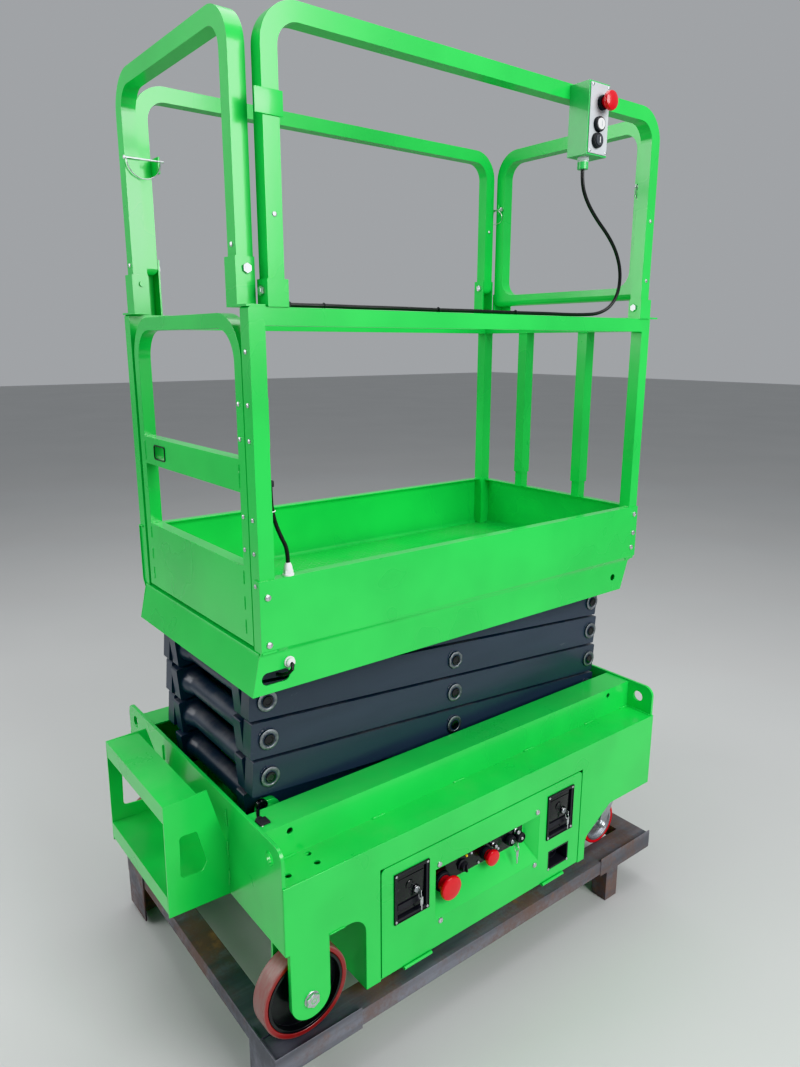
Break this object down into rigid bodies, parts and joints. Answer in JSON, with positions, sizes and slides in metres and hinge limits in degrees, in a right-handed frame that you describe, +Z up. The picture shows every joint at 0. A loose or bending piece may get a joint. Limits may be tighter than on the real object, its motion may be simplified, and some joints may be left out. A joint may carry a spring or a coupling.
{
  "type": "mobile scissor lift on a work stand",
  "caption": "Small mobile scissor lift with folding guardrails, entry gate and step, standing lowered on a welded work stand.",
  "frame": {"origin": "on the floor, below the middle of the whole machine's bounding box", "axes": "+X towards the caster end, away from the entry gate and step; +Y towards the far side, away from the control panel; +Z up"},
  "size_m": [1.357, 0.866, 2.096],
  "materials": {
    "green_paint": "gloss powder coat",
    "arm_paint": "satin slate paint",
    "stand_steel": "dark mill scale with rust",
    "zinc": "bright zinc plate",
    "black_plastic": "moulded black plastic",
    "battery_case": "moulded battery cases",
    "pump_steel": "black paint",
    "chrome_rod": "hard chrome",
    "box_paint": "green plastic housing",
    "white_plastic": "light grey plastic",
    "red_plastic": "red plastic",
    "cable_rubber": "black sheath",
    "tread_front": "worn brownish red polyurethane",
    "tread_caster": "bright red polyurethane",
    "hub_black": "black enamel"
  },
  "bodies": {
    "base": {"stand": "stand_steel", "base_frame": "green_paint", "end_plates": "green_paint", "side_skins": "green_paint", "front_forks": "green_paint", "caster_plates": "zinc", "door_hinges": "green_paint", "battery": "battery_case", "pump_unit": "pump_steel", "entry_step": "green_paint", "scissor_mounts": "arm_paint"},
    "door_near_body": {"door_near": "green_paint", "door_near_fittings": "black_plastic", "control_panel": "black_plastic"},
    "door_far_body": {"door_far": "green_paint", "door_far_fittings": "black_plastic"},
    "cylinder_barrel_body": {"cylinder_barrel": "arm_paint"},
    "cylinder_rod_body": {"cylinder_rod": "chrome_rod"},
    "platform": {"toe_boards": "green_paint", "platform_floor": "green_paint", "platform_carriers": "green_paint", "lower_rails": "green_paint", "loop_brackets": "green_paint", "gate_hinges": "zinc", "cable_upper": "cable_rubber", "cable_lower": "cable_rubber", "cable_glands": "white_plastic"},
    "near_loop_body": {"loop_near": "green_paint", "control_box": "box_paint", "control_face": "white_plastic", "control_buttons": "red_plastic"},
    "far_loop_body": {"loop_far": "green_paint"},
    "front_loop_body": {"loop_front": "green_paint"},
    "rear_loop_body": {"loop_rear": "green_paint"},
    "gate_body": {"gate": "green_paint"},
    "inner_1": {"inner_arms_1": "arm_paint"},
    "outer_1": {"outer_arms_1": "arm_paint"},
    "inner_2": {"inner_arms_2": "arm_paint"},
    "outer_2": {"outer_arms_2": "arm_paint"},
    "inner_3": {"inner_arms_3": "arm_paint"},
    "outer_3": {"outer_arms_3": "arm_paint"},
    "inner_4": {"inner_arms_4": "arm_paint"},
    "outer_4": {"outer_arms_4": "arm_paint"},
    "front_wheel_near": {"tread_front_near": "tread_front", "hub_front_near": "hub_black"},
    "caster_near": {"caster_fork_near": "zinc"},
    "caster_wheel_near": {"tread_caster_near": "tread_caster", "hub_caster_near": "zinc"},
    "front_wheel_far": {"tread_front_far": "tread_front", "hub_front_far": "hub_black"},
    "caster_far": {"caster_fork_far": "zinc"},
    "caster_wheel_far": {"tread_caster_far": "tread_caster", "hub_caster_far": "zinc"}
  },
  "joints": [
    {"name": "lift", "type": "hinge", "parent": "base", "child": "inner_1", "pos_m": [-0.4605, 0.015, 0.57], "axis": [0, -1, 0], "range_deg": [0, 47.25]},
    {"name": "cross_1", "type": "hinge", "parent": "inner_1", "child": "outer_1", "pos_m": [0.06, 0.015, 0.61325], "axis": [0, -1, 0], "range_deg": [-94.5, 0]},
    {"name": "stack_1", "type": "hinge", "parent": "outer_1", "child": "inner_2", "pos_m": [-0.4605, 0.015, 0.6565], "axis": [0, -1, 0], "range_deg": [0, 94.5]},
    {"name": "cross_2", "type": "hinge", "parent": "inner_2", "child": "outer_2", "pos_m": [0.06, 0.015, 0.69975], "axis": [0, -1, 0], "range_deg": [-94.5, 0]},
    {"name": "stack_2", "type": "hinge", "parent": "outer_2", "child": "inner_3", "pos_m": [-0.4605, 0.015, 0.743], "axis": [0, -1, 0], "range_deg": [0, 94.5]},
    {"name": "cross_3", "type": "hinge", "parent": "inner_3", "child": "outer_3", "pos_m": [0.06, 0.015, 0.78625], "axis": [0, -1, 0], "range_deg": [-94.5, 0]},
    {"name": "stack_3", "type": "hinge", "parent": "outer_3", "child": "inner_4", "pos_m": [-0.4605, 0.015, 0.8295], "axis": [0, -1, 0], "range_deg": [0, 94.5]},
    {"name": "cross_4", "type": "hinge", "parent": "inner_4", "child": "outer_4", "pos_m": [0.06, 0.015, 0.87275], "axis": [0, -1, 0], "range_deg": [-94.5, 0]},
    {"name": "platform_level", "type": "hinge", "parent": "outer_4", "child": "platform", "pos_m": [-0.4605, 0.015, 0.916], "axis": [0, -1, 0], "range_deg": [0, 47.25]},
    {"name": "cylinder_swing", "type": "hinge", "parent": "base", "child": "cylinder_barrel_body", "pos_m": [-0.2605, 0.015, 0.48], "axis": [0, -1, 0], "range_deg": [0, 53.6]},
    {"name": "cylinder_stroke", "type": "slide", "parent": "cylinder_barrel_body", "child": "cylinder_rod_body", "axis": [0.9754, 0, 0.2203], "range_m": [0, 0.1503]},
    {"name": "front_wheel_near_spin", "type": "hinge", "parent": "base", "child": "front_wheel_near", "pos_m": [-0.4845, -0.353, 0.25], "axis": [0, 1, 0], "continuous": true},
    {"name": "caster_near_swivel", "type": "hinge", "parent": "base", "child": "caster_near", "pos_m": [0.5525, -0.318, 0.316], "axis": [0, 0, 1], "continuous": true},
    {"name": "caster_wheel_near_spin", "type": "hinge", "parent": "caster_near", "child": "caster_wheel_near", "pos_m": [0.5145, -0.318, 0.2125], "axis": [0, 1, 0], "continuous": true},
    {"name": "door_near_hinge", "type": "hinge", "parent": "base", "child": "door_near_body", "pos_m": [0.0195, -0.397, 0.1906], "axis": [1, 0, 0], "range_deg": [0, 85]},
    {"name": "front_wheel_far_spin", "type": "hinge", "parent": "base", "child": "front_wheel_far", "pos_m": [-0.4845, 0.383, 0.25], "axis": [0, 1, 0], "continuous": true},
    {"name": "caster_far_swivel", "type": "hinge", "parent": "base", "child": "caster_far", "pos_m": [0.5525, 0.348, 0.316], "axis": [0, 0, 1], "continuous": true},
    {"name": "caster_wheel_far_spin", "type": "hinge", "parent": "caster_far", "child": "caster_wheel_far", "pos_m": [0.5145, 0.348, 0.2125], "axis": [0, 1, 0], "continuous": true},
    {"name": "door_far_hinge", "type": "hinge", "parent": "base", "child": "door_far_body", "pos_m": [0.0195, 0.427, 0.1906], "axis": [-1, 0, 0], "range_deg": [0, 85]},
    {"name": "near_loop_fold", "type": "hinge", "parent": "platform", "child": "near_loop_body", "pos_m": [0.0845, -0.272, 1.634], "axis": [-1, 0, 0], "range_deg": [0, 90]},
    {"name": "far_loop_fold", "type": "hinge", "parent": "platform", "child": "far_loop_body", "pos_m": [0.0845, 0.302, 1.71], "axis": [1, 0, 0], "range_deg": [0, 90]},
    {"name": "front_loop_fold", "type": "hinge", "parent": "platform", "child": "front_loop_body", "pos_m": [-0.4895, 0.015, 1.672], "axis": [0, 1, 0], "range_deg": [0, 90]},
    {"name": "rear_loop_fold", "type": "hinge", "parent": "platform", "child": "rear_loop_body", "pos_m": [0.6575, 0.015, 1.672], "axis": [0, -1, 0], "range_deg": [0, 90]},
    {"name": "gate_hinge", "type": "hinge", "parent": "platform", "child": "gate_body", "pos_m": [-0.4715, -0.254, 1.28], "axis": [0, 0, -1], "range_deg": [0, 90]}
  ],
  "couplings": [
    {"joint": "cross_1", "follows": "lift", "ratio": -2},
    {"joint": "stack_1", "follows": "lift", "ratio": 2},
    {"joint": "cross_2", "follows": "lift", "ratio": -2},
    {"joint": "stack_2", "follows": "lift", "ratio": 2},
    {"joint": "cross_3", "follows": "lift", "ratio": -2},
    {"joint": "stack_3", "follows": "lift", "ratio": 2},
    {"joint": "cross_4", "follows": "lift", "ratio": -2},
    {"joint": "platform_level", "follows": "lift", "ratio": 1},
    {"joint": "cylinder_swing", "follows": "lift", "ratio": 1.1319},
    {"joint": "cylinder_stroke", "follows": "lift", "m_per_rad": 0.18208}
  ]
}
